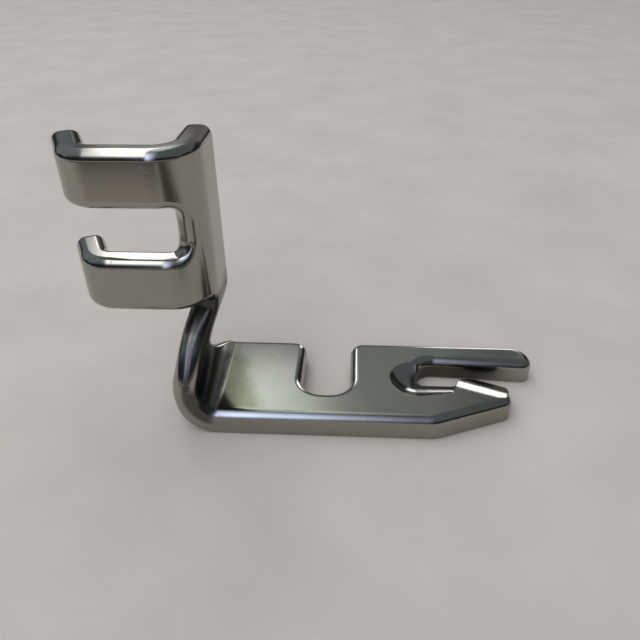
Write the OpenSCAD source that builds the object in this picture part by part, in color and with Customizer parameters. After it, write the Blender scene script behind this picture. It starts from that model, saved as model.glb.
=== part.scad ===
// Presser foot for a household sewing machine, folded from one piece of
// nickel-plated sheet steel with rounded edges. The flat sole has two toes at
// +X and a needle notch in its back edge. At the heel the strip turns up into a
// leaning neck and then an upright flange, whose two arms wrap round the
// presser bar. The clamp screw passes between the arms.
// The origin is on the sole's underside, at the centre of the notch's round end.
// +X points from the heel to the toes, and +Y from the arms' face to the notch.

/* [Sheet] */
// thickness of the sheet steel
sheet_t = 2.3; // [1.9:0.05:2.5]
// radius of every rounded edge of the sheet
edge_r = 0.8; // [0.5:0.05:1]
// radius of the edges round the sole's underside, which is ground flat
under_r = 0.15; // [0.1:0.05:0.4]

/* [Sole] */
// width of the sole
sole_w = 11.3; // [10.6:0.1:12.5]
// length from the heel bend's centre line to the long toe's tip
sole_len = 28.9; // [27.5:0.1:31]
// how far the short toe stops behind the long one
toe_step = 2.95; // [2:0.05:4]
// width of the long toe at its tip
long_toe_w = 3.1; // [2.6:0.1:3.4]
// length of the slanting outer side of the short toe, along the sole
slant_len = 6.9; // [5:0.1:8]
// how far the slanting side comes in at the short toe's tip
slant_in = 2.85; // [2:0.05:3.2]
// outer corner radius of the long toe's tip
tip_r = 1.9; // [1:0.1:2.2]

/* [Needle notch] */
// distance from the heel bend's centre line to the notch's centre line
notch_pos = 9.2; // [8:0.1:10]
// width of the notch
notch_w = 4.4; // [3.6:0.1:5]
// depth of the notch from the back edge
notch_depth = 7.9; // [6.5:0.1:8.3]
// radius of the notch's inner corners
notch_r = 1.9; // [1.2:0.1:2.1]
// radius of the corners where the notch meets the back edge
notch_lip_r = 1.3; // [0.8:0.1:1.6]

/* [Toe slot] */
// distance from the long toe's tip back to the slot's inner end
slot_len = 11.3; // [10.5:0.1:12]
// width of the slot at its inner end
slot_w = 2.8; // [2.2:0.1:3]
// width of the slot's mouth between the toes
mouth_w = 1.15; // [0.8:0.05:1.6]
// radius of the hollow pressed round the slot's inner end
hollow_r = 2.5; // [2.2:0.05:2.8]
// depth of that hollow
hollow_depth = 1.15; // [0.7:0.05:1.3]
// slope of the lead-in on the short toe's inner side, in degrees
lead_in_deg = 19; // [12:1:22]

/* [Heel and neck] */
// outside radius of the heel bend
heel_r = 4.1; // [3.6:0.1:5]
// lean of the neck from upright, towards the toes, in degrees
neck_lean = 17; // [12:1:20]
// twist of the neck, its back edge towards the heel, in degrees
neck_skew = 3.6; // [0:0.2:5]
// radius of the neck's edges, which are the roundest ones
neck_r = 1.05; // [0.8:0.05:1.1]
// distance of the neck's back edge from the sole's front edge
neck_back = 9.1; // [8.4:0.1:9.8]

/* [Clamp] */
// distance of the arms' outer face behind the sole's front edge
arm_face = 1.5; // [0.8:0.1:2]
// distance of the flange's outer face from the heel bend's centre line
flange_out = 0.15; // [-0.3:0.05:0.8]
// outside radius of the bend between the arms and the flange
arm_bend_r = 3.5; // [3:0.1:4]
// flat length of the arms between their two bends
arm_flat = 4.4; // [4:0.1:6]
// outside radius of the bend at the arms' free ends
lip_bend_r = 3.0; // [2.7:0.1:3.5]
// angle of that bend, in degrees
lip_deg = 63; // [56:1:76]
// straight length of the upper arm's lip
upper_lip = 4.0; // [2.8:0.1:4.6]
// straight length of the lower arm's lip
lower_lip = 3.3; // [2.2:0.1:4]

/* [Heights] */
// height of the upper arm's top edge above the underside of the sole
top_z = 24.9; // [24:0.1:26.5]
// height of the screw gap's centre line above the underside of the sole
gap_z = 18.35; // [18:0.05:19]
// height of the screw gap between the arms
gap_h = 4.1; // [3.7:0.1:4.5]
// height of the lower arm's bottom edge above the underside of the sole
arm_z = 11.6; // [11.4:0.1:12.6]
// how far round the bend the screw gap runs, in degrees
gap_end_deg = 42; // [36:1:50]
// corner radius of the screw gap's closed end
gap_r = 1.4; // [1:0.1:1.7]

/* [Hidden] */

steps = 4;                                  // facets on each rounded edge
turn = 4.5;                                 // degrees of bend for each facet
steel = [0.72, 0.72, 0.70];

toe_x = sole_len;                           // the long toe's tip
short_x = toe_x - toe_step;                 // the short toe's tip
slot_x = toe_x - slot_len;                  // the slot's inner end
wall_y = sole_w - long_toe_w;               // the long toe's inner side
slot_back_y = wall_y + 0.55;                // the same side at the inner end
slot_front_y = slot_back_y - slot_w;        // the slot's front side
short_in_y = wall_y - mouth_w;              // the short toe's inner side
step_x = slot_x + 3.4;                      // where hollow and lead-in meet
step_y = slot_front_y - 1.35;
bevel_deg = atan2(step_y - slant_in + 0.25, short_x - step_x);
notch_y = sole_w - notch_depth + notch_w / 2;

heel_deg = 90 + neck_lean;
flange_in = flange_out - sheet_t;
bend_x = flange_out - arm_bend_r;           // centre of the arms' main bend
bend_y = arm_face + arm_bend_r;
lip_x = bend_x - arm_flat;                  // centre of the lips' bend
lip_y = arm_face + lip_bend_r;
fold_r = 1.5;                               // fold between neck and flange
round_r = min(edge_r, 0.45 * sheet_t);      // the most that the sheet can take
neck_round = max(round_r, min(neck_r, 0.47 * sheet_t));
corner_r = round_r + 0.2;                   // least radius of an outer corner
toe_r = min(tip_r, long_toe_w - corner_r);
gap_half = gap_h / 2;

// point at distance r and angle a round a centre
function around(c, r, a) = c + r * [cos(a), sin(a)];

// fillet of radius corner[2] at a corner of an outline, as a list of points
function fillet(before, corner, after) =
    let (
        p = [corner[0], corner[1]],
        u = unit([before[0], before[1]] - p),
        v = unit([after[0], after[1]] - p),
        half = acos(u * v) / 2,
        c = p + unit(u + v) * corner[2] / sin(half),
        q = p + u * corner[2] / tan(half) - c,
        sweep = (u[0] * v[1] - u[1] * v[0] > 0 ? -1 : 1) * (180 - 2 * half),
        n = max(2, ceil(abs(sweep) / 11.25)),
        start = atan2(q[1], q[0])
    )
    [for (i = [0:n]) around(c, corner[2], start + sweep * i / n)];

function unit(v) = v / norm(v);

// outline through a list of [x, y, radius] corners; its first and last corners
// stay sharp
function outline(corners) =
    let (n = len(corners) - 1)
    [
        for (i = [0:n])
        for (p = i == 0 || i == n
            ? [[corners[i][0], corners[i][1]]]
            : fillet(corners[i - 1], corners[i], corners[i + 1])) p
    ];

// inset and height of each ring of points round a plate's edge
function rings(under) = [
    for (i = [0:steps]) [under * (1 - sin(90 * i / steps)), under * (1 - cos(90 * i / steps))],
    for (i = [0:steps]) [round_r * (1 - cos(90 * i / steps)), sheet_t - round_r * (1 - sin(90 * i / steps))]
];

// direction into the plate at each point of an outline, scaled so that an inset
// moves every side by the same amount
function inward(p) =
    let (n = len(p) - 1)
    [
        for (i = [0:n])
            let (
                a = i == 0 ? unit(p[1] - p[0]) : unit(p[i] - p[i - 1]),
                b = i == n ? a : unit(p[i + 1] - p[i]),
                m = unit([-a[1] - b[1], a[0] + b[0]])
            )
            m / (m * [-a[1], a[0]])
    ];

// plate with all its edges rounded except the straight one from its last point
// to its first
module plate(p) {
    n = len(p);
    rows = rings(under_r);
    m = len(rows);
    into = inward(p);
    polyhedron(
        points = [for (k = rows) for (i = [0:n - 1]) [each p[i] + into[i] * k[0], k[1]]],
        faces = [
            [for (i = [0:n - 1]) i],
            [for (i = [n - 1:-1:0]) (m - 1) * n + i],
            for (k = [0:m - 2]) for (i = [0:n - 1])
                let (a = k * n + i, b = k * n + (i + 1) % n)
                each [[a, a + n, b + n], [a, b + n, b]]
        ]
    );
}

// rounded cross-section of the sheet: from lo to hi along w, and from face to
// face along t, drawn in from all sides by inset
function section(o, w, t, lo, hi, inset = 0) =
    let (r = round_r - min(inset, round_r - 0.06))
    [
        for (q = [0:3]) for (i = [0:steps])
            let (e = 90 * (q + i / steps))
            o + w * ((q == 0 || q == 3 ? hi - inset - r : lo + inset + r) + r * cos(e))
              + t * ((q < 2 ? sheet_t - inset - r : inset + r) + r * sin(e))
    ];

// skin over a list of cross-sections; each end is closed by strips between the
// first half of its points and the second
module skin(sections) {
    n = len(sections[0]);
    m = len(sections);
    last = (m - 1) * n;
    polyhedron(
        points = [for (s = sections) each s],
        faces = [
            for (k = [0:n / 2 - 2]) each [
                [k, n - 1 - k, k + 1], [k + 1, n - 1 - k, n - 2 - k],
                [last + k, last + k + 1, last + n - 1 - k], [last + k + 1, last + n - 2 - k, last + n - 1 - k]
            ],
            for (j = [0:m - 2]) for (k = [0:n - 1])
                let (a = j * n + k, b = j * n + (k + 1) % n)
                each [[a, b + n, a + n], [a, b, b + n]]
        ]
    );
}

// point on the arms' bend at heading a, depth d from the outer face and height z
function bend_point(a, d, z) =
    [bend_x + (arm_bend_r - d) * sin(a), bend_y - (arm_bend_r - d) * cos(a), z];

// arm seen from above: its lip, the lip's bend and the flat part
module arm(lip, lo, hi) {
    tip = lip_point(-lip_deg);
    back = [-cos(lip_deg), sin(lip_deg)];
    skin([
        for (s = [
            for (i = [0:steps])
                [tip + back * (lip - round_r * (1 - cos(90 * i / steps))), -lip_deg,
                 round_r * (1 - sin(90 * i / steps))],
            for (a = [-lip_deg:lip_deg / 16:-0.1]) [lip_point(a), a, 0],
            [lip_point(0), 0, 0],
            [[bend_x - 0.5, arm_face], 0, 0]
        ])
            section([s[0][0], s[0][1], 0], [0, 0, 1], [-sin(s[1]), cos(s[1]), 0], lo, hi, s[2])
    ]);
}
function lip_point(a) = around([lip_x, lip_y], lip_bend_r, a - 90);

// full-height sheet from the arms' flat part round the bend to the flange's
// back edge, with the closed end of the screw gap
module channel() {
    difference() {
        skin([
            section([bend_x - 1, arm_face, 0], [0, 0, 1], [0, 1, 0], arm_z, top_z),
            for (a = [0:turn:90])
                section(bend_point(a, 0, 0), [0, 0, 1], [-sin(a), cos(a), 0], arm_z, top_z),
            for (i = [0:steps])
                section(
                    [flange_out, neck_back - round_r * (1 - sin(90 * i / steps)), 0],
                    [0, 0, 1], [-1, 0, 0], arm_z, top_z, round_r * (1 - cos(90 * i / steps))
                )
        ]);
        gap_end();
    }
}

// the screw gap as it is cut from the sheet and bent with it, wider at both
// faces by the rounding of its edges
module gap_end() {
    per_mm = 180 / PI / arm_bend_r;
    round_a = gap_end_deg - gap_r * per_mm;
    depths = [[-0.4, round_r], for (k = rings(round_r)) [k[1], k[0]], [sheet_t + 0.4, round_r]];
    skin([
        for (s = [
            [-1.2, 0],
            for (a = [0:turn:round_a - 1]) [a, 0],
            for (k = [0:15:90]) [round_a + (gap_end_deg - round_a) * sin(k), k]
        ])
            [
                for (side = [1, -1], i = [0:len(depths) - 1])
                    let (
                        k = depths[side > 0 ? i : len(depths) - 1 - i],
                        z = gap_half - gap_r + (gap_r + k[1]) * cos(s[1]),
                        a = s[0] + (s[0] < 0 ? 0 : k[1] * sin(s[1]) * per_mm)
                    )
                    s[0] < 0 ? [bend_x + s[0], arm_face + k[0], gap_z + side * z]
                             : bend_point(a, k[0], gap_z + side * z)
            ]
    ]);
}

// point on the neck at distance y from the front edge and depth d from the heel
// side; in front of the arms' bend line the neck curls towards the heel, fully
// at curl 1, and the twist moves it by skew for each millimetre of y
function neck_point(o, t, curl, skew, y, d) =
    let (
        r = arm_bend_r / max(curl, 0.001),
        a = max(0, bend_y - y) / r * 180 / PI,
        x = (r - sheet_t + d) * cos(a) - (r - sheet_t)
    )
    [o[0] + t[0] * x - skew * (y - bend_y + 2), max(y, bend_y) - (r - sheet_t + d) * sin(a), o[1] + t[1] * x];

// cross-section of the neck between y0 and y1, with its edges rounded by inner
// on the heel side and by outer on the other; sunk draws its faces and back
// edge in
function neck_section(o, t, curl, skew, y0, y1, inner = round_r, outer = round_r, sunk = 0) =
    let (
        mid = 8, a = y0 + max(inner, outer), b = y1 - max(inner, outer), thin = 1 - 2 * sunk / sheet_t
    )
    [
        for (q = [0:3])
            each concat(
                [for (i = [0:steps])
                    let (e = 90 * (q + i / steps), k = q < 2 ? outer : inner)
                    neck_point(o, t, curl, skew, (q == 0 || q == 3 ? y1 - sunk - k : y0 + k) + k * cos(e),
                               sunk + ((q < 2 ? sheet_t - k : k) + k * sin(e)) * thin)],
                [if (q == 0 || q == 2) for (i = [1:mid - 1])
                    let (k = q == 0 ? i / mid : 1 - i / mid)
                    neck_point(o, t, curl, skew, b + (a - b) * k, q == 0 ? sheet_t - sunk : sunk)]
            )
    ];

// front edge of the neck at a height above the sole's underside
function neck_front(z) = lookup(z, [
    [3, 0], [4, 0.08], [5, 0.25], [6, 0.55], [7, 1], [8, 1.6], [9, 2.35], [10, 3.15], [10.7, 3.7], [11.3, 4.1], [12.5, 4.4]
]) * bend_y / 5;

// 0 before from, 1 after to, with a smooth change between
function ease(x, from, to) = 0.5 - 0.5 * cos(180 * min(1, max(0, (x - from) / (to - from))));

// heel bend, leaning neck and the start of the upright flange
module neck() {
    foot_of_neck = [-heel_r * sin(heel_deg), heel_r * (1 - cos(heel_deg))];
    up = [sin(neck_lean), cos(neck_lean)];
    fold_x = flange_in - fold_r * (1 - cos(neck_lean));
    run = (fold_x - foot_of_neck[0]) / up[0];
    fold_z = foot_of_neck[1] + up[1] * run + fold_r * sin(neck_lean);
    skew = tan(neck_skew);
    skin([
        neck_section([1, 0], [0, 1], 0, 0, 0, sole_w, under_r),
        for (a = [0:heel_deg / 18:heel_deg + 0.1])
            let (r = round_r + (neck_round - round_r) * ease(a, 30, 80))
            neck_section(
                [-heel_r * sin(a), heel_r * (1 - cos(a))], [sin(a), cos(a)], 0, skew * ease(a, 0, 90),
                neck_front(heel_r * (1 - cos(a))), sole_w - (sole_w - neck_back) * ease(a, 20, 75),
                under_r + (r - under_r) * ease(a, 30, 100), r
            ),
        for (i = [0.125:0.125:1])
            let (
                z = foot_of_neck[1] + up[1] * run * i,
                r = round_r + (neck_round - round_r) * (1 - ease(i, 0.5, 1))
            )
            neck_section(
                foot_of_neck + up * run * i, [up[1], -up[0]], i * i, skew * (1 - ease(i, 0.3, 1)),
                neck_front(z), neck_back, r, r
            ),
        for (a = [neck_lean * 2 / 3, neck_lean / 3, 0])
            let (z = fold_z - fold_r * sin(a))
            neck_section([flange_in - fold_r * (1 - cos(a)), z], [cos(a), -sin(a)], 1, 0, neck_front(z), neck_back),
        for (h = [0.1, round_r + 0.3])
            neck_section([flange_in, arm_z + h], [1, 0], 1, 0, neck_front(arm_z + h), neck_back, sunk = 0.06 + h / 8)
    ]);
}

// hollow at the slot's inner end: a ball's path into the slot, ending in a
// small step at the lead-in
module hollow() {
    passes = 8;
    y = slot_front_y - 0.3;
    intersection() {
        for (k = [0:passes - 1])
            hull()
                for (j = [k, k + 1])
                    let (
                        r = hollow_r - 0.6 * j / passes,
                        ball = (pow(r, 2) + pow(hollow_depth, 2)) / (2 * hollow_depth)
                    )
                    translate([slot_x + 3.4 * j / passes, y, sheet_t - hollow_depth + ball])
                        sphere(r = ball, $fn = 48);
        translate([step_x, step_y, 0]) rotate([0, 0, -bevel_deg]) translate([-9, -6, 0]) cube([9, 14, 9]);
    }
}

// sloping lead-in on the inner side of the short toe, as far as the slot's mouth
module lead_in() {
    intersection() {
        translate([step_x, step_y, sheet_t]) rotate([0, 0, -bevel_deg]) rotate([-lead_in_deg, 0, 0])
            translate([-0.05, 0, 0]) cube([9, 7, 5]);
        cube([toe_x, wall_y - mouth_w / 2, 9]);
    }
}

module sole() {
    difference() {
        plate(outline([
            [0, 0],
            [short_x - slant_len, 0, 2.5],
            [short_x, slant_in, corner_r],
            [short_x, short_in_y, 1.3],
            [short_x - 2.8, short_in_y, 2],
            [step_x + 0.1, slot_front_y, 1.5],
            [slot_x, slot_front_y, 0.8],
            [slot_x, slot_back_y, slot_w - 1],
            [toe_x, wall_y, corner_r],
            [toe_x, sole_w, toe_r],
            [notch_pos + notch_w / 2, sole_w, notch_lip_r],
            [notch_pos + notch_w / 2, sole_w - notch_depth, notch_r],
            [notch_pos - notch_w / 2, sole_w - notch_depth, notch_r],
            [notch_pos - notch_w / 2, sole_w, notch_lip_r],
            [0, sole_w]
        ]));
        hollow();
        lead_in();
    }
}

module foot() {
    color(steel) translate([-notch_pos, -notch_y, 0]) {
        sole();
        neck();
        arm(upper_lip, gap_z + gap_half, top_z);
        arm(lower_lip, arm_z, gap_z - gap_half);
        channel();
    }
}

foot();
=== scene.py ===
"""Looks for a folded sheet-metal presser foot.

The foot is one piece of sheet. It is drawn as its flat blank, with every edge
rounded, and each point of the blank is then carried through the folds.
"""

import logging
import math
from dataclasses import dataclass
from enum import Enum

import bpy
import numpy as np
from mathutils import Matrix, Vector
from mathutils.geometry import delaunay_2d_cdt

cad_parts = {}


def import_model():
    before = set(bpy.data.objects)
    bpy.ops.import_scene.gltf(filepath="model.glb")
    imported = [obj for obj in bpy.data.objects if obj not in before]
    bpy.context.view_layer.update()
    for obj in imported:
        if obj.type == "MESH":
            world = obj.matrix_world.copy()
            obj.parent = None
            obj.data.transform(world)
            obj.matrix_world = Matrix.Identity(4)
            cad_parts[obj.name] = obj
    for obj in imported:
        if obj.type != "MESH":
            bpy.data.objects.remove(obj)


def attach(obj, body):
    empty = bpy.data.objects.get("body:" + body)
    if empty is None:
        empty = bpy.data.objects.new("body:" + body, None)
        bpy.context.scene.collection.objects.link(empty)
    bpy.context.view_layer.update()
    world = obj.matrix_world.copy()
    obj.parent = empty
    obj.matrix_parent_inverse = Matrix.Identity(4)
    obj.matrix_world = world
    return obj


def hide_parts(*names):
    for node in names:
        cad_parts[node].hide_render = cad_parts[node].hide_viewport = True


logging.basicConfig(level=logging.INFO, format="%(levelname)s %(message)s")
log = logging.getLogger("foot")

MM = 0.001


def srgb(text: str) -> tuple[float, float, float, float]:
    """Turns a hex colour into linear RGBA.

    Args:
        text: the colour as #rrggbb, as it would be seen in a picture.

    Returns:
        Linear red, green, blue and an alpha of 1.
    """
    parts = (int(text[i : i + 2], 16) / 255 for i in (1, 3, 5))
    return (*(c / 12.92 if c <= 0.04045 else ((c + 0.055) / 1.055) ** 2.4 for c in parts), 1.0)


def ease(x: np.ndarray, start: float, end: float) -> np.ndarray:
    """Rises smoothly from 0 at start to 1 at end."""
    return 0.5 - 0.5 * np.cos(np.pi * np.clip((x - start) / (end - start), 0, 1))


@dataclass(frozen=True)
class Sizes:
    """Sizes of the foot in millimetres and degrees, before it is moved to its origin."""

    sheet_t: float = 2.3
    edge_r: float = 0.8
    under_r: float = 0.15
    sole_w: float = 11.3
    sole_len: float = 28.9
    toe_step: float = 2.95
    long_toe_w: float = 3.1
    slant_len: float = 6.9
    slant_in: float = 2.85
    tip_r: float = 1.9
    notch_pos: float = 9.2
    notch_w: float = 4.4
    notch_depth: float = 7.9
    notch_r: float = 1.9
    notch_lip_r: float = 1.3
    slot_len: float = 11.3
    slot_w: float = 2.8
    mouth_w: float = 1.15
    hollow_r: float = 2.5
    hollow_depth: float = 1.15
    lead_in_deg: float = 19.0
    heel_r: float = 4.1
    neck_lean: float = 17.0
    neck_skew: float = 3.6
    neck_r: float = 1.05
    neck_back: float = 9.1
    arm_face: float = 1.5
    flange_out: float = 0.15
    arm_bend_r: float = 3.5
    arm_flat: float = 4.4
    lip_bend_r: float = 3.0
    lip_deg: float = 63.0
    upper_lip: float = 4.0
    lower_lip: float = 3.3
    top_z: float = 24.9
    gap_z: float = 18.35
    gap_h: float = 4.1
    arm_z: float = 11.6
    gap_end_deg: float = 42.0
    gap_r: float = 1.4
    fold_r: float = 1.5
    corner_r: float = 1.0
    neck_front: tuple = (
        (3.0, 0.0), (4.0, 0.08), (5.0, 0.25), (6.0, 0.55), (7.0, 1.0), (8.0, 1.6),
        (9.0, 2.35), (10.0, 3.15), (10.7, 3.7), (11.3, 4.1), (12.5, 4.4),
    )

    @property
    def bend_y(self) -> float:
        """Distance behind the front edge at which the arms' bend begins."""
        return self.arm_face + self.arm_bend_r

    @property
    def notch_y(self) -> float:
        """Centre of the notch's round end, behind the front edge."""
        return self.sole_w - self.notch_depth + self.notch_w / 2

    @property
    def slot_x(self) -> float:
        """The toe slot's inner end."""
        return self.sole_len - self.slot_len

    @property
    def wall_y(self) -> float:
        """The long toe's inner side."""
        return self.sole_w - self.long_toe_w

    @property
    def slot_front_y(self) -> float:
        """The toe slot's front side, near its inner end."""
        return self.wall_y + 0.55 - self.slot_w

    @property
    def step_x(self) -> float:
        """Where the hollow ends and the lead-in begins."""
        return self.slot_x + 3.4

    @property
    def step_y(self) -> float:
        """Front end of the small step between them."""
        return self.slot_front_y - 1.35

    @property
    def bevel(self) -> float:
        """Direction of the lead-in's front rim, in radians."""
        return math.atan2(self.step_y - self.slant_in + 0.25, self.sole_len - self.toe_step - self.step_x)

    @property
    def step_rim(self) -> np.ndarray:
        """Where the step meets the slot's front side, in the blank."""
        return np.array([self.step_x + (self.slot_front_y - self.step_y) * math.tan(self.bevel), self.slot_front_y])


class Fold:
    """Carries points of the flat blank to their places on the folded foot.

    A blank point has u along the strip (the sole is at u > 0 and the flange's
    top at the lowest u), v across it, and d, its depth from the face that is
    the sole's underside and the inside of the clamp.
    """

    def __init__(self, sizes: Sizes) -> None:
        s = self.sizes = sizes
        self.heel = math.radians(90 + s.neck_lean)
        self.lean = math.radians(s.neck_lean)
        self.heel_len = s.heel_r * self.heel
        self.foot = np.array([-s.heel_r * math.sin(self.heel), s.heel_r * (1 - math.cos(self.heel))])
        self.up = np.array([math.sin(self.lean), math.cos(self.lean)])
        self.flange_in = s.flange_out - s.sheet_t
        fold_x = self.flange_in - s.fold_r * (1 - math.cos(self.lean))
        self.run = (fold_x - self.foot[0]) / self.up[0]
        self.fold_z = self.foot[1] + self.up[1] * self.run + s.fold_r * math.sin(self.lean)
        self.fold_len = s.fold_r * self.lean

    def u_at(self, z: float) -> float:
        """Place along the strip of a height on the upright flange."""
        return -(self.heel_len + self.run + self.fold_len + z - self.fold_z)

    def station(self, u: np.ndarray) -> tuple[np.ndarray, ...]:
        """Finds the strip's folded centre curve.

        Args:
            u: places along the strip.

        Returns:
            x and z of the inner face, x and z of the direction to the outer
            face, the curl towards the arms' bend, and the neck's twist.
        """
        s = self.sizes
        a = np.clip(-u / s.heel_r, 0, self.heel)
        k = np.clip(-u - self.heel_len, 0, self.run)
        f = self.lean - np.clip(-u - self.heel_len - self.run, 0, self.fold_len) / s.fold_r
        w = np.clip(-u - self.heel_len - self.run - self.fold_len, 0, None)
        on_neck = -u > self.heel_len
        on_fold = -u > self.heel_len + self.run
        x = np.where(on_neck, self.foot[0] + self.up[0] * k, -s.heel_r * np.sin(a) + np.clip(u, 0, None))
        z = np.where(on_neck, self.foot[1] + self.up[1] * k, s.heel_r * (1 - np.cos(a)))
        x = np.where(on_fold, self.flange_in - s.fold_r * (1 - np.cos(f)), x)
        z = np.where(on_fold, self.fold_z - s.fold_r * np.sin(f) + w, z)
        tx = np.where(on_neck, np.cos(f), np.sin(a))
        tz = np.where(on_neck, -np.sin(f), np.cos(a))
        curl = (k / self.run) ** 2
        skew = math.tan(math.radians(s.neck_skew)) * ease(a, 0, math.pi / 2) * (1 - ease(k / self.run, 0.3, 1))
        return x, z, tx, tz, curl, skew

    def across(self, v: np.ndarray, d: np.ndarray, curl: np.ndarray) -> tuple[np.ndarray, np.ndarray]:
        """Finds a point's place across the strip, seen along it.

        Args:
            v: distances from the front edge of the sole, in the blank.
            d: depths from the inner face.
            curl: 0 where the strip is flat and 1 where the arms' bend is full.

        Returns:
            The distance from the inner face, and y.
        """
        s = self.sizes
        r = s.arm_bend_r / np.maximum(curl, 1e-4)
        arc = np.clip(s.bend_y - v, 0, None)
        quarter = s.arm_bend_r * math.pi / 2
        a = np.minimum(arc, np.maximum(quarter, 0)) / r
        rho = r - s.sheet_t + d
        x = rho * np.cos(a) - (r - s.sheet_t)
        y = np.maximum(v, s.bend_y) - rho * np.sin(a)
        flat = np.clip(arc - quarter, 0, s.arm_flat)
        turn = np.clip((arc - quarter - s.arm_flat) / s.lip_bend_r, 0, math.radians(s.lip_deg))
        lip = np.clip(arc - quarter - s.arm_flat - s.lip_bend_r * math.radians(s.lip_deg), 0, None)
        small = s.lip_bend_r - s.sheet_t + d
        x = x - flat - small * np.sin(turn) - lip * np.cos(turn)
        y = y + small * (1 - np.cos(turn)) + lip * np.sin(turn)
        return x, y

    def place(self, p: np.ndarray) -> np.ndarray:
        """Carries blank points to their places.

        Args:
            p: blank points as rows of u, v and d.

        Returns:
            Rows of x, y and z in millimetres, in the part's own frame.
        """
        s = self.sizes
        u, v, d = p.T
        x0, z0, tx, tz, curl, skew = self.station(u)
        out, y = self.across(v, d, curl)
        x = x0 + tx * out - skew * (v - s.bend_y + 2)
        return np.stack([x - s.notch_pos, y - s.notch_y, z0 + tz * out], 1)

    def normals(self, p: np.ndarray, n: np.ndarray) -> np.ndarray:
        """Carries surface normals of the blank through the folds."""
        eps = 1e-3
        jac = np.stack([
            (self.place(p + eps * e) - self.place(p - eps * e)) / (2 * eps) for e in np.eye(3)
        ], 2)
        out = np.linalg.solve(np.transpose(jac, (0, 2, 1)), n[:, :, None])[:, :, 0]
        return out / np.linalg.norm(out, axis=1, keepdims=True)


@dataclass(frozen=True)
class Corner:
    """A corner of the blank's outline, with its fillet's radius."""

    u: float
    v: float
    r: float = 0.0


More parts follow.
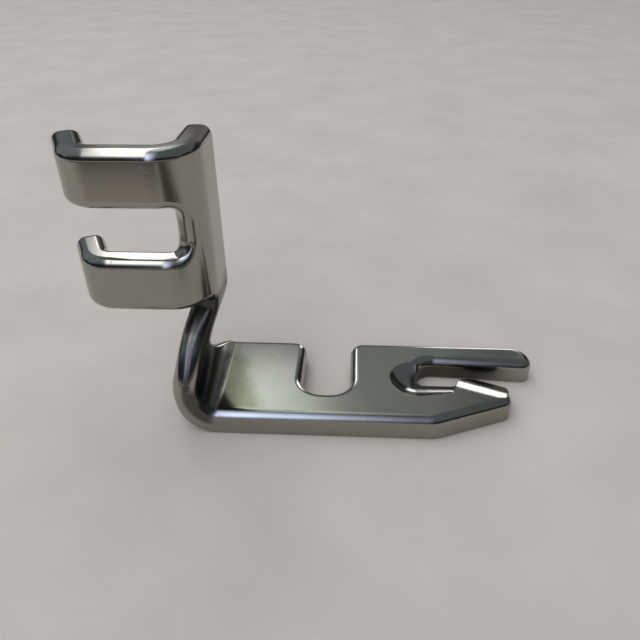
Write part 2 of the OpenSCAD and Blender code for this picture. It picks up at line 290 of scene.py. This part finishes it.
class Blank:
    """The flat sheet's outline, as one closed run of points."""

    ARC_STEP = 0.11
    LINE_STEP = 0.22
    RIM_STEP, RIM_REACH = 0.03, 1.0

    def __init__(self, sizes: Sizes, fold: Fold) -> None:
        self.sizes, self.fold = sizes, fold
        self.points = self._resample(self._outline())
        self.inward = self._inward(self.points)

    def _outline(self) -> np.ndarray:
        s, fold = self.sizes, self.fold
        short_x = s.sole_len - s.toe_step
        short_in = s.wall_y - s.mouth_w
        reach = s.arm_bend_r * math.pi / 2 + s.arm_flat + s.lip_bend_r * math.radians(s.lip_deg)
        upper = s.bend_y - reach - s.upper_lip
        lower = s.bend_y - reach - s.lower_lip
        gap_end = s.bend_y - s.arm_bend_r * math.radians(90 - s.gap_end_deg)
        top, gap_top = fold.u_at(s.top_z), fold.u_at(s.gap_z + s.gap_h / 2)
        gap_low, low = fold.u_at(s.gap_z - s.gap_h / 2), fold.u_at(s.arm_z)
        half = s.notch_w / 2
        deep = s.sole_w - s.notch_depth
        sole = [
            Corner(0, 0),
            Corner(short_x - s.slant_len, 0, 2.5),
            Corner(short_x, s.slant_in, s.corner_r),
            Corner(short_x, short_in, 1.3),
            Corner(short_x - 2.8, short_in, 2),
            Corner(s.step_x + 0.1, s.slot_front_y, 1.5),
            Corner(s.slot_x, s.slot_front_y, 0.8),
            Corner(s.slot_x, s.wall_y + 0.55, s.slot_w - 1),
            Corner(s.sole_len, s.wall_y, s.corner_r),
            Corner(s.sole_len, s.sole_w, s.tip_r),
            Corner(s.notch_pos + half, s.sole_w, s.notch_lip_r),
            Corner(s.notch_pos + half, deep, s.notch_r),
            Corner(s.notch_pos - half, deep, s.notch_r),
            Corner(s.notch_pos - half, s.sole_w, s.notch_lip_r),
            Corner(0, s.sole_w),
        ]
        a = np.linspace(0, fold.heel, 60)[1:]
        shoulder = np.stack([
            -s.heel_r * a,
            s.sole_w - (s.sole_w - s.neck_back) * ease(a, math.radians(20), math.radians(75)),
        ], 1)
        clamp = [
            Corner(-fold.heel_len - 0.5, s.neck_back),
            Corner(top, s.neck_back, s.corner_r),
            Corner(top, upper, s.corner_r),
            Corner(gap_top, upper, s.corner_r),
            Corner(gap_top, gap_end, s.gap_r),
            Corner(gap_low, gap_end, s.gap_r),
            Corner(gap_low, lower, s.corner_r),
            Corner(low, lower, s.corner_r),
            Corner(low, self._front(s.arm_z) + 0.15, 0.45),
            Corner(fold.u_at(s.arm_z - 0.9), self._front(s.arm_z - 0.9)),
        ]
        u = np.linspace(fold.u_at(s.arm_z - 0.95), -s.heel_r * math.radians(60), 90)
        z = fold.station(u)[1]
        neck = np.stack([u, [self._front(h) for h in z]], 1)
        return np.concatenate([self._rounded(sole), shoulder, self._rounded(clamp), neck])

    def _front(self, z: float) -> float:
        """Front edge of the neck at a height, in the blank."""
        heights, edges = np.array(self.sizes.neck_front).T
        smooth = np.mean([np.interp(z + o, heights, edges) for o in np.linspace(-0.5, 0.5, 11)])
        return float(smooth) * self.sizes.bend_y / 5

    @staticmethod
    def _rounded(corners: list[Corner]) -> np.ndarray:
        """Replaces each inner corner of an open run by its fillet."""
        rows = [np.array([[corners[0].u, corners[0].v]])]
        for before, here, after in zip(corners, corners[1:], corners[2:]):
            p = np.array([here.u, here.v])
            if not here.r:
                rows.append(p[None])
                continue
            a, b = (np.array([c.u, c.v]) - p for c in (before, after))
            a, b = a / np.linalg.norm(a), b / np.linalg.norm(b)
            half = math.acos(float(np.clip(a @ b, -1, 1))) / 2
            c = p + (a + b) / np.linalg.norm(a + b) * here.r / math.sin(half)
            q = p + a * here.r / math.tan(half) - c
            sweep = (-1 if a[0] * b[1] - a[1] * b[0] > 0 else 1) * (math.pi - 2 * half)
            count = max(3, math.ceil(abs(sweep) * here.r / Blank.ARC_STEP))
            t = math.atan2(q[1], q[0]) + sweep * np.linspace(0, 1, count + 1)
            rows.append(c + here.r * np.stack([np.cos(t), np.sin(t)], 1))
        rows.append(np.array([[corners[-1].u, corners[-1].v]]))
        return np.concatenate(rows)

    def _resample(self, p: np.ndarray) -> np.ndarray:
        """Splits long sides, so that the outline can follow the folds and the toe's step."""
        rows = []
        for a, b in zip(p, np.roll(p, -1, 0)):
            near = np.linalg.norm((a + b) / 2 - self.sizes.step_rim) < self.RIM_REACH
            count = max(1, math.ceil(np.linalg.norm(b - a) / (self.RIM_STEP if near else self.LINE_STEP)))
            rows.append(a + (b - a) * np.linspace(0, 1, count, endpoint=False)[:, None])
        return np.concatenate(rows)

    @staticmethod
    def _inward(p: np.ndarray) -> np.ndarray:
        """Directions into the sheet, of unit length, from the two sides at each point."""
        ahead = np.roll(p, -1, 0) - p
        ahead /= np.linalg.norm(ahead, axis=1, keepdims=True)
        mean = ahead + np.roll(ahead, 1, 0)
        mean /= np.linalg.norm(mean, axis=1, keepdims=True)
        return np.stack([-mean[:, 1], mean[:, 0]], 1)


class ToeCut:
    """The hollow at the slot's inner end and the lead-in on the short toe, which
    slopes gently at its rim and more steeply towards the slot."""

    RIM_SLOPE = 0.2
    STEP_RUN = 0.01

    def __init__(self, sizes: Sizes) -> None:
        self.sizes = sizes

    def from_step(self, u: np.ndarray, v: np.ndarray) -> tuple[np.ndarray, np.ndarray]:
        """Distances of blank points past the step and, along it, from its front end."""
        s = self.sizes
        du, dv = u - s.step_x, v - s.step_y
        return du * math.cos(s.bevel) - dv * math.sin(s.bevel), du * math.sin(s.bevel) + dv * math.cos(s.bevel)

    def step_rows(self, spacing: float) -> np.ndarray:
        """Blank points in two rows, one close to each side of the step, that keep it sharp."""
        s = self.sizes
        side, over = np.meshgrid((-0.5 * self.STEP_RUN, 0.5 * self.STEP_RUN), np.arange(0, s.wall_y - s.step_y, spacing))
        side, over = side.ravel(), over.ravel()
        u = s.step_x + side * math.cos(s.bevel) + over * math.sin(s.bevel)
        return np.stack([u, s.step_y - side * math.sin(s.bevel) + over * math.cos(s.bevel)], 1)

    def height(self, u: np.ndarray, v: np.ndarray) -> np.ndarray:
        """Depth to which the sheet is cut at each blank point, as a height above its underside."""
        s = self.sizes
        along, over = self.from_step(u, v)
        out = np.full(len(u), 99.0)
        for k in np.linspace(0, 1, 25):
            r = s.hollow_r - 0.6 * k
            ball = (r * r + s.hollow_depth**2) / (2 * s.hollow_depth)
            away = (u - s.slot_x - 3.4 * k) ** 2 + (v - s.slot_front_y + 0.3) ** 2
            low = s.sheet_t - s.hollow_depth + ball - np.sqrt(np.maximum(ball**2 - away, 1e-6))
            out = np.where((away < ball**2) & (along < 0), np.minimum(out, low), out)
        steeper = self.RIM_SLOPE + (1 - self.RIM_SLOPE) * over / (s.wall_y - s.mouth_w / 2 - s.step_y)
        ramp = s.sheet_t - over * math.tan(math.radians(s.lead_in_deg)) * steeper
        on_ramp = (along >= 0) & (over > 0) & (v < s.wall_y - s.mouth_w / 2)
        return np.where(on_ramp, np.minimum(out, ramp), out)

    def slope(self, u: np.ndarray, v: np.ndarray) -> np.ndarray:
        """Upward normal of the cut in the blank, as rows."""
        e = 0.02
        return np.stack([
            (self.height(u - e, v) - self.height(u + e, v)) / (2 * e),
            (self.height(u, v - e) - self.height(u, v + e)) / (2 * e),
            np.ones(len(u)),
        ], 1)


class Side(Enum):
    """The two faces of the sheet."""

    INNER = -1
    OUTER = 1


class Skin:
    """The folded sheet's surface, as one closed mesh."""

    ROUND_STEPS = 10
    COARSE, FINE = 0.3, 0.085

    def __init__(self, sizes: Sizes) -> None:
        self.sizes = sizes
        self.fold = Fold(sizes)
        self.blank = Blank(sizes, self.fold)
        self.cut = ToeCut(sizes)
        self.points: list[np.ndarray] = []
        self.normals: list[np.ndarray] = []
        self.faces: list[tuple[int, ...]] = []
        self.count = 0

    def _add(self, p: np.ndarray, n: np.ndarray) -> int:
        """Adds points with their normals, and returns the first one's number."""
        first = self.count
        self.points.append(p)
        self.normals.append(n)
        self.count += len(p)
        return first

    def _limit(self, p: np.ndarray, n: np.ndarray) -> tuple[np.ndarray, np.ndarray]:
        """Lowers points of the outer face to the toes' cut surfaces."""
        low = self.cut.height(p[:, 0], p[:, 1])
        below = low < p[:, 2]
        p = np.column_stack([p[:, :2], np.where(below, low, p[:, 2])])
        return p, np.where(below[:, None], self.cut.slope(p[:, 0], p[:, 1]), n)

    def _radius(self, side: Side) -> np.ndarray:
        """Radius of the rounded edge at each outline point."""
        s = self.sizes
        turn = -self.blank.points[:, 0] / s.heel_r
        climb = (-self.blank.points[:, 0] - self.fold.heel_len) / self.fold.run
        neck = ease(turn, math.radians(30), math.radians(80)) * (1 - ease(climb, 0.5, 1))
        outer = s.edge_r + (s.neck_r - s.edge_r) * neck
        if side is Side.OUTER:
            return outer
        return s.under_r + (outer - s.under_r) * ease(turn, math.radians(30), math.radians(100))

    def _edge(self, side: Side) -> list[int]:
        """Adds the rings of one rounded edge, from the sheet's rim to its face."""
        s, rim = self.sizes, self.blank.points
        radius = self._radius(side)
        first = []
        for e in np.linspace(0, math.pi / 2, self.ROUND_STEPS + 1):
            flat = rim + self.blank.inward * (radius * (1 - math.cos(e)))[:, None]
            drop = radius * (1 - math.sin(e))
            d = s.sheet_t - drop if side is Side.OUTER else drop
            p = np.column_stack([flat, d])
            n = np.column_stack([-self.blank.inward * math.cos(e), np.full(len(rim), side.value * math.sin(e))])
            if side is Side.OUTER:
                p, n = self._limit(p, n)
            first.append(self._add(p, n))
        return first

    def _fill(self, side: Side, ring: int) -> None:
        """Covers one face of the sheet inside its rounded edge."""
        s = self.sizes
        rim = self.blank.points + self.blank.inward * self._radius(side)[:, None]
        lo, hi = rim.min(0), rim.max(0)
        coarse = self._grid(lo, hi, self.COARSE)
        keep = [coarse]
        if side is Side.OUTER:
            start = np.array([s.slot_x - s.hollow_r - 0.6, s.slant_in - 1.2])
            stop = np.array([s.sole_len - s.toe_step, s.wall_y + 0.9])
            inside = ((coarse > start) & (coarse < stop)).all(1)
            fine = self._grid(start, stop, self.FINE)
            off_step = np.abs(self.cut.from_step(*fine.T)[0]) > 0.5 * self.FINE
            keep = [coarse[~inside], fine[off_step], self.cut.step_rows(0.5 * self.FINE)]
        steps = (self.COARSE, self.FINE, self.FINE)
        inner = np.concatenate([g[self._well_inside(g, rim, 0.5 * step)] for g, step in zip(keep, steps)])
        flat = [Vector(p) for p in np.concatenate([rim, inner])]
        sides = [(i, (i + 1) % len(rim)) for i in range(len(rim))]
        verts, _, corners, origins, _, _ = delaunay_2d_cdt(flat, sides, [], 0, 1e-6, True)
        p = np.array([v[:] for v in verts])
        faces = np.array([list(c) for c in corners])
        faces = faces[self._inside(p[faces].mean(1), rim)]
        p = np.column_stack([p, np.full(len(p), s.sheet_t if side is Side.OUTER else 0.0)])
        n = np.tile([0.0, 0.0, float(side.value)], (len(p), 1))
        if side is Side.OUTER:
            p, n = self._limit(p, n)
        first = self._add(p, n)
        number = np.arange(len(p)) + first
        for i, origin in enumerate(origins):
            for o in origin:
                if o < len(rim):
                    number[i] = ring + o
        turn = 1 if side is Side.OUTER else -1
        self.faces += number[faces][:, ::turn].tolist()
        log.info("%s face: %d triangles", side.name.lower(), len(faces))

    @staticmethod
    def _grid(lo: np.ndarray, hi: np.ndarray, step: float) -> np.ndarray:
        """Even points over a rectangle of the blank."""
        u, v = np.meshgrid(np.arange(lo[0], hi[0], step), np.arange(lo[1], hi[1], step))
        return np.stack([u.ravel(), v.ravel()], 1)

    @staticmethod
    def _inside(p: np.ndarray, rim: np.ndarray) -> np.ndarray:
        """Marks the points that lie inside an outline."""
        after = np.roll(rim, -1, 0)
        out = np.zeros(len(p), bool)
        for i in range(0, len(p), 4000):
            q = p[i : i + 4000]
            crosses = (rim[:, 1] > q[:, 1:]) != (after[:, 1] > q[:, 1:])
            with np.errstate(divide="ignore", invalid="ignore"):
                at = rim[:, 0] + (q[:, 1:] - rim[:, 1]) * (after[:, 0] - rim[:, 0]) / (after[:, 1] - rim[:, 1])
            out[i : i + 4000] = (crosses & (q[:, :1] < at)).sum(1) % 2 == 1
        return out

    @classmethod
    def _well_inside(cls, p: np.ndarray, rim: np.ndarray, gap: float) -> np.ndarray:
        """Marks the points that lie inside an outline and at least gap from its points."""
        out = cls._inside(p, rim)
        for i in range(0, len(p), 4000):
            q = p[i : i + 4000]
            out[i : i + 4000] &= ((q[:, None] - rim[None]) ** 2).sum(2).min(1) > gap * gap
        return out

    def _join(self, a: int, b: int) -> None:
        """Joins two rings of the outline's points by a band of quads."""
        n = len(self.blank.points)
        i = np.arange(n)
        j = (i + 1) % n
        self.faces += np.stack([a + i, a + j, b + j, b + i], 1).tolist()

    def build(self, name: str) -> bpy.types.Object:
        """Makes the mesh.

        Args:
            name: the new object's name.

        Returns:
            The object, linked to the scene, at its place in metres.
        """
        outer, inner = self._edge(Side.OUTER), self._edge(Side.INNER)
        for a, b in zip(inner[::-1], inner[::-1][1:]):
            self._join(a, b)
        self._join(inner[0], outer[0])
        for a, b in zip(outer, outer[1:]):
            self._join(a, b)
        self._fill(Side.OUTER, outer[-1])
        self._fill(Side.INNER, inner[-1])

        p, n = np.concatenate(self.points), np.concatenate(self.normals)
        used = np.unique(np.concatenate([np.array(f) for f in self.faces]))
        number = np.full(len(p), -1)
        number[used] = np.arange(len(used))
        p, n = p[used], n[used]
        faces = [tuple(int(number[k]) for k in f) for f in self.faces]

        mesh = bpy.data.meshes.new(name)
        mesh.from_pydata((self.fold.place(p) * MM).tolist(), [], faces)
        mesh.polygons.foreach_set("use_smooth", np.ones(len(faces), bool))
        mesh.normals_split_custom_set_from_vertices(self.fold.normals(p, n).tolist())
        sheet = mesh.attributes.new("blank", "FLOAT_VECTOR", "POINT")
        sheet.data.foreach_set("vector", p.astype(np.float32).ravel())
        obj = bpy.data.objects.new(name, mesh)
        bpy.context.scene.collection.objects.link(obj)
        log.info("%s: %d points, %d faces", name, len(p), len(faces))
        return obj


class Nodes:
    """A material's or world's node tree, built up by short calls."""

    def __init__(self, tree: bpy.types.NodeTree) -> None:
        self.tree = tree
        tree.nodes.clear()

    def add(self, kind: str, settings: dict | None = None, **inputs) -> bpy.types.Node:
        """Adds a node.

        Args:
            kind: the node's type.
            settings: properties of the node.
            **inputs: its sockets by name, with _ for a space, each a value or
                another node's output.

        Returns:
            The new node.
        """
        node = self.tree.nodes.new(kind)
        for key, value in (settings or {}).items():
            setattr(node, key, value)
        for key, value in inputs.items():
            socket = node.inputs[int(key[1:])] if key[0] == "i" and key[1:].isdigit() else node.inputs[key.replace("_", " ")]
            if isinstance(value, bpy.types.NodeSocket):
                self.tree.links.new(value, socket)
            else:
                socket.default_value = value
        return node

    def ramp(self, fac: bpy.types.NodeSocket, *stops: tuple[float, tuple]) -> bpy.types.NodeSocket:
        """Adds a colour ramp with the given stops and returns its colour."""
        node = self.add("ShaderNodeValToRGB", i0=fac)
        while len(node.color_ramp.elements) < len(stops):
            node.color_ramp.elements.new(0.5)
        for element, (pos, colour) in zip(node.color_ramp.elements, stops):
            element.position, element.color = pos, colour
        return node.outputs[0]

    def math(self, operation: str, a, b=0.0) -> bpy.types.NodeSocket:
        """Adds a math node and returns its value."""
        return self.add("ShaderNodeMath", {"operation": operation}, i0=a, i1=b).outputs[0]

    def product(self, first, *others) -> bpy.types.NodeSocket:
        """Multiplies values together."""
        for other in others:
            first = self.math("MULTIPLY", first, other)
        return first

    def between(self, value: bpy.types.NodeSocket, limits: tuple[float, float]) -> bpy.types.NodeSocket:
        """Changes smoothly from 0 at the first limit to 1 at the second."""
        node = self.add(
            "ShaderNodeMapRange", {"interpolation_type": "SMOOTHSTEP"},
            Value=value, From_Min=min(limits), From_Max=max(limits), To_Min=float(limits[0] > limits[1]),
            To_Max=float(limits[0] < limits[1]),
        )
        return node.outputs[0]

    def mix(self, share, a, b) -> bpy.types.NodeSocket:
        """Mixes two colours, from all a at 0 to all b at 1."""
        return self.add("ShaderNodeMix", {"data_type": "RGBA"}, i0=share, i6=a, i7=b).outputs[2]


def grey(value: float) -> tuple[float, float, float, float]:
    """A linear grey, for a ramp that is read as a number."""
    return (value, value, value, 1.0)


def nickel() -> bpy.types.Material:
    """Bright nickel plate, as it is after years of use: soft smears, a few
    pin-holes, an olive stain on the sole next to the heel, grime and painted
    shade in the toe slot, darker and rougher plate in the bend and on the neck
    above it, and painted dark reflections on the heel's front rim and the
    neck's upper rim."""
    mat = bpy.data.materials.new("nickel_plate")
    mat.use_nodes = True
    t = Nodes(mat.node_tree)
    place = t.add("ShaderNodeTexCoord").outputs["Object"]
    smear = t.add("ShaderNodeTexNoise", i0=place, Scale=160.0, Detail=4.0, Roughness=0.55).outputs["Fac"]
    fine = t.add("ShaderNodeTexNoise", i0=place, Scale=1400.0, Detail=3.0, Roughness=0.6).outputs["Fac"]
    cloud = t.add("ShaderNodeTexNoise", i0=place, Scale=90.0, Detail=3.0).outputs["Fac"]
    blotch = t.add("ShaderNodeTexNoise", i0=place, Scale=380.0, Detail=4.0, Roughness=0.6).outputs["Fac"]

    sheet = t.add("ShaderNodeAttribute", {"attribute_name": "blank"}).outputs["Vector"]
    toe_u, v, d = t.add("ShaderNodeSeparateXYZ", i0=sheet).outputs
    u = t.math("ADD", toe_u, t.math("MULTIPLY", t.math("SUBTRACT", blotch, 0.5), 2.5))
    off_rim = t.between(v, (0.4, 1.3))
    # Darker, rougher plate on the concave face of the heel bend and the neck; painted dark reflections on the heel's
    # front rim and the neck's upper rim, sparing one lit streak on the neck's rim.
    above = t.between(u, (-15.0, -13.8))
    bend_face_darkening = t.product(t.between(d, (1.85, 2.1)), above, t.between(u, (0.2, -1.4)))
    neck_rim_painted_dark = t.product(t.between(d, (0.1, 0.6)), above, t.between(u, (-10.2, -11.4)))
    streak_spared = t.product(t.between(d, (1.4, 1.7)), t.between(u, (-6.5, -7.7)))
    heel_rim_painted_dark = t.product(t.between(d, (0.75, 1.15)), above, t.between(u, (-0.2, -1.6)), t.math("SUBTRACT", 0.85, streak_spared))
    darkening_and_painted_dark = t.math("MAXIMUM", t.math("MAXIMUM", bend_face_darkening, neck_rim_painted_dark), heel_rim_painted_dark)
    darkening_and_painted_dark = t.math("MULTIPLY", darkening_and_painted_dark, t.between(v, (9.6, 8.4)))
    slanted = t.math("ADD", u, t.math("MULTIPLY", v, 0.36))
    stain = t.product(t.between(d, (0.9, 1.7)), off_rim, t.between(u, (-1.0, 0.0)), t.between(slanted, (4.9, 2.9)), 0.75)
    # Grime and painted shade on the toe slot's walls: partly dirt, partly the darkness of the shaded floor that they
    # mirror.
    slot = t.product(t.between(toe_u, (16.9, 17.3)), t.between(toe_u, (28.2, 23.0)), t.between(v, (5.0, 5.6)), t.between(v, (9.2, 8.8)))
    slot_grime_and_shade = t.product(slot, t.between(d, (0.05, 0.3)), t.between(d, (1.75, 1.3)), 0.85)

    tone = t.ramp(cloud, (0.35, srgb("#a3a19a")), (0.62, srgb("#9f9e95")), (0.8, srgb("#969486")))
    tone = t.mix(stain, tone, srgb("#77795e"))
    tone = t.mix(slot_grime_and_shade, tone, srgb("#3a3a30"))
    # One dark colour serves the bend's darkening and the painted dark reflections on the rims.
    tone = t.mix(darkening_and_painted_dark, tone, srgb("#4d4e47"))
    rough = t.ramp(smear, (0.3, grey(0.11)), (0.7, grey(0.19)))
    rough = t.math("ADD", rough, t.math("MULTIPLY", darkening_and_painted_dark, 0.14))
    pits = t.ramp(fine, (0.28, grey(0.0)), (0.36, grey(1.0)))
    bump = t.add("ShaderNodeBump", Strength=0.12, Distance=0.00002, Height=pits)
    shader = t.add(
        "ShaderNodeBsdfPrincipled",
        Metallic=1.0, Base_Color=tone, Roughness=rough, Normal=bump.outputs[0],
    )
    t.add("ShaderNodeOutputMaterial", Surface=shader.outputs[0])
    return mat


def floor_stone() -> bpy.types.Material:
    """Pale, dull stone-coloured table top with faint clouds."""
    mat = bpy.data.materials.new("table_top")
    mat.use_nodes = True
    t = Nodes(mat.node_tree)
    place = t.add("ShaderNodeTexCoord").outputs["Object"]
    cloud = t.add("ShaderNodeTexNoise", i0=place, Scale=70.0, Detail=5.0, Roughness=0.6).outputs["Fac"]
    tone = t.ramp(cloud, (0.3, srgb("#bab5b0")), (0.7, srgb("#c5c0bb")))
    shader = t.add("ShaderNodeBsdfPrincipled", Base_Color=tone, Roughness=0.6, Specular_IOR_Level=0.0)
    t.add("ShaderNodeOutputMaterial", Surface=shader.outputs[0])
    return mat


Stops = tuple[tuple[float, float], ...]
EVEN: Stops = ((0.0, 1.0), (1.0, 1.0))


def glow(name: str, colour: str, strength: float, across: Stops, along: Stops) -> bpy.types.Material:
    """Light from a panel whose "share" attribute runs from 0 to 1 both ways.

    Args:
        name: the material's name.
        colour: the light's colour.
        strength: the brightest light.
        across: places along the attribute's x with their shares of that light.
        along: the same along its y.

    Returns:
        The material.
    """
    mat = bpy.data.materials.new(name)
    mat.use_nodes = True
    t = Nodes(mat.node_tree)
    share = t.add("ShaderNodeAttribute", {"attribute_name": "share"}).outputs["Vector"]
    x, y, _ = t.add("ShaderNodeSeparateXYZ", i0=share).outputs
    parts = [t.ramp(where, *((p, grey(c)) for p, c in stops)) for where, stops in ((x, across), (y, along))]
    level = t.math("MULTIPLY", t.math("MULTIPLY", *parts), strength)
    light = t.add("ShaderNodeEmission", Color=srgb(colour), Strength=level)
    t.add("ShaderNodeOutputMaterial", Surface=light.outputs[0])
    return mat


@dataclass(frozen=True)
class Arch:
    """A soft light that bends over the object, out of the picture.

    A place on it is given by its direction from the object: its reach towards
    +X, from -1 to 1, and its turn round the X axis, in degrees from the horizon
    behind the object over the zenith to the one in front.
    """

    name: str
    reach: tuple[float, float]
    turn: tuple[float, float]
    strength: float
    colour: str = "#ffffff"
    across: Stops = EVEN
    along: Stops = EVEN
    radius: float = 2.0
    mirrored: bool = True

    def build(self) -> None:
        """Makes the light."""
        rows, columns = 33, 9
        share = np.array([(i / (columns - 1), j / (rows - 1), 0) for j in range(rows) for i in range(columns)])
        x = np.interp(share[:, 0], (0, 1), self.reach)
        turn = np.radians(np.interp(share[:, 1], (0, 1), self.turn))
        side = np.sqrt(1 - x * x)
        places = self.radius * np.stack([x, side * np.cos(turn), side * np.sin(turn)], 1)
        corners = [j * columns + i for j in range(rows - 1) for i in range(columns - 1)]
        mesh = bpy.data.meshes.new(self.name)
        mesh.from_pydata(places.tolist(), [], [(k, k + 1, k + columns + 1, k + columns) for k in corners])
        mesh.attributes.new("share", "FLOAT_VECTOR", "POINT").data.foreach_set("vector", share.astype(np.float32).ravel())
        mesh.materials.append(glow(self.name, self.colour, self.strength, self.across, self.along))
        obj = bpy.data.objects.new(self.name, mesh)
        obj.visible_camera = False
        obj.visible_glossy = obj.visible_shadow = self.mirrored
        bpy.context.scene.collection.objects.link(obj)


@dataclass(frozen=True)
class Card:
    """A flat, faintly glowing piece that only the plate's reflections show, which
    paints a dark reflection: the table top in the photographer's shade, or a dark patch behind the clamp.

    Its sides are given in metres; y and z run together along it.
    """

    name: str
    x: tuple[float, float]
    y: tuple[float, float]
    z: tuple[float, float]
    strength: float
    across: Stops = EVEN
    along: Stops = EVEN

    def build(self) -> None:
        """Makes the card."""
        share = np.array([(0, 0, 0), (1, 0, 0), (1, 1, 0), (0, 1, 0)], np.float32)
        corners = [(self.x[int(a)], self.y[int(b)], self.z[int(b)]) for a, b, _ in share]
        mesh = bpy.data.meshes.new(self.name)
        mesh.from_pydata(corners, [], [(0, 1, 2, 3)])
        mesh.attributes.new("share", "FLOAT_VECTOR", "POINT").data.foreach_set("vector", share.ravel())
        mesh.materials.append(glow(self.name, "#fff5ea", self.strength, self.across, self.along))
        obj = bpy.data.objects.new(self.name, mesh)
        obj.visible_camera = obj.visible_diffuse = obj.visible_shadow = False
        bpy.context.scene.collection.objects.link(obj)


@dataclass(frozen=True)
class View:
    """The camera as solved from the picture: pixels, millimetres and radians."""

    focal_px: float = 620.0
    picture_px: float = 640.0
    pitch: float = 0.5838
    roll: float = -0.0137
    yaw: float = -0.0651
    place: tuple[float, float, float] = (2.423, -45.492, 38.705)

    def build(self) -> None:
        """Makes the camera and sets it as the scene's."""
        ahead = Vector((math.sin(self.yaw) * math.cos(self.pitch), math.cos(self.yaw) * math.cos(self.pitch), -math.sin(self.pitch)))
        right = Vector((math.cos(self.yaw), -math.sin(self.yaw), 0))
        up = right.cross(ahead)
        right, up = (
            math.cos(self.roll) * right + math.sin(self.roll) * up,
            -math.sin(self.roll) * right + math.cos(self.roll) * up,
        )
        camera = bpy.data.cameras.new("camera")
        camera.sensor_width = 36
        camera.lens = 36 * self.focal_px / self.picture_px
        camera.clip_start, camera.clip_end = 0.001, 20
        obj = bpy.data.objects.new("camera", camera)
        obj.matrix_world = Matrix.Translation(Vector(self.place) * MM) @ Matrix((right, up, -ahead)).transposed().to_4x4()
        bpy.context.scene.collection.objects.link(obj)
        bpy.context.scene.camera = obj


def add_floor() -> None:
    """Adds the table top under the sole."""
    mesh = bpy.data.meshes.new("table_top")
    mesh.from_pydata([(-0.6, -0.6, 0), (0.6, -0.6, 0), (0.6, 0.6, 0), (-0.6, 0.6, 0)], [], [(0, 1, 2, 3)])
    mesh.materials.append(floor_stone())
    obj = bpy.data.objects.new("table_top", mesh)
    bpy.context.scene.collection.objects.link(obj)


def add_world(colour: str, strength: float, backdrop: str) -> None:
    """Adds the room's even light, and the pale wall that the camera sees past the table."""
    world = bpy.data.worlds.new("room")
    world.use_nodes = True
    t = Nodes(world.node_tree)
    room = t.add("ShaderNodeBackground", Color=srgb(colour), Strength=strength).outputs[0]
    wall = t.add("ShaderNodeBackground", Color=srgb(backdrop), Strength=1.0).outputs[0]
    seen = t.add("ShaderNodeLightPath").outputs["Is Camera Ray"]
    t.add("ShaderNodeOutputWorld", Surface=t.add("ShaderNodeMixShader", i0=seen, i1=room, i2=wall).outputs[0])
    bpy.context.scene.world = world


ARCHES = (
    Arch("strip", (-0.405, -0.235), (14, 150), 4.0, across=((0.0, 0.1), (0.15, 1.0), (0.75, 1.0), (1.0, 0.15)),
         along=((0.0, 0.06), (0.045, 0.06), (0.11, 1.0), (0.81, 1.0), (0.9, 0.4), (1.0, 0.02))),
    Arch("front_sky", (-0.22, 0.14), (92, 178), 4.2, "#ccd9ff",
         across=((0.0, 1.0), (0.12, 1.0), (0.33, 0.7), (0.6, 0.42), (0.75, 0.22), (1.0, 0.1)),
         along=((0.0, 0.2), (0.18, 0.45), (0.36, 0.8), (0.6, 1.0), (0.74, 0.8), (0.86, 0.45), (1.0, 0.25))),
    Arch("back_wall", (-0.24, 0.0), (36, 52), 2.1, "#f0f8f6",
         across=((0.0, 0.1), (0.19, 0.25), (0.3, 1.0), (0.42, 1.0), (0.59, 0.85), (0.74, 0.6), (0.9, 0.33), (1.0, 0.2)),
         along=((0.0, 0.5), (0.25, 0.85), (0.4, 1.0), (1.0, 1.0))),
    Arch("back_right", (0.0, 0.215), (33, 52), 0.42, "#ecf6f6", across=((0.0, 1.0), (0.5, 0.85), (1.0, 0.5))),
    Arch("back_low", (-0.235, 0.14), (12, 33), 0.22, "#dcecf0"),
    Arch("back_sky", (-0.22, 0.14), (52, 92), 2.2, "#e2f0ee",
         across=((0.0, 0.7), (0.4, 1.0), (0.65, 0.5), (1.0, 0.2)), along=((0.0, 0.6), (0.3, 1.0), (0.6, 0.5), (1.0, 0.25))),
    Arch("low_window", (0.1, 0.36), (8, 29.5), 3.6, across=((0.0, 0.2), (0.15, 1.0), (0.85, 1.0), (1.0, 0.2)), radius=1.9),
    Arch("side_sky", (-0.96, -0.42), (15, 145), 0.42, "#cfe0ec", along=((0.0, 0.6), (0.2, 1.0), (0.75, 1.0), (1.0, 0.2))),
    Arch("dim_sky", (0.14, 0.95), (35, 150), 0.24, "#cfe0ec", radius=2.1),
    Arch("fill", (-0.75, 0.25), (60, 158), 1.5, "#fffaf6", radius=0.6, mirrored=False),
)

# Painted reflections: dim glowing cards that only the plate mirrors, for the photographer's shade on the table and a
# dark patch behind the clamp.
CARDS = (
    Card("front_shade", (-0.25, 0.25), (-0.1385, -0.0465), (0.0003, 0.0003), 0.47,
         along=((0.0, 0.12), (0.69, 0.14), (0.76, 0.5), (0.81, 0.78), (0.88, 0.92), (1.0, 1.0))),
    Card("camera_shade", (-0.001, 0.037), (-0.1, -0.027), (0.0006, 0.0006), 0.47,
         across=((0.0, 1.0), (0.3, 0.16), (0.7, 0.16), (1.0, 1.0)), along=((0.0, 0.4), (0.3, 1.0), (1.0, 1.0))),
    Card("corner_shade", (-0.0105, -0.0035), (0.012, 0.012), (0.0258, 0.034), 0.2),
)


def build_scene() -> None:
    """Builds the object, its stage and its lights."""
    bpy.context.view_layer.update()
    foot = Skin(Sizes()).build("foot_skin")
    foot.data.materials.append(nickel())
    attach(foot, "root")
    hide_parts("foot")

    add_floor()
    add_world("#8796a0", 0.1, "#bab3aa")
    for piece in ARCHES + CARDS:
        piece.build()
    View().build()
    scene = bpy.context.scene
    scene.view_settings.view_transform = "Standard"


if __name__ == "__main__":
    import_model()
    build_scene()
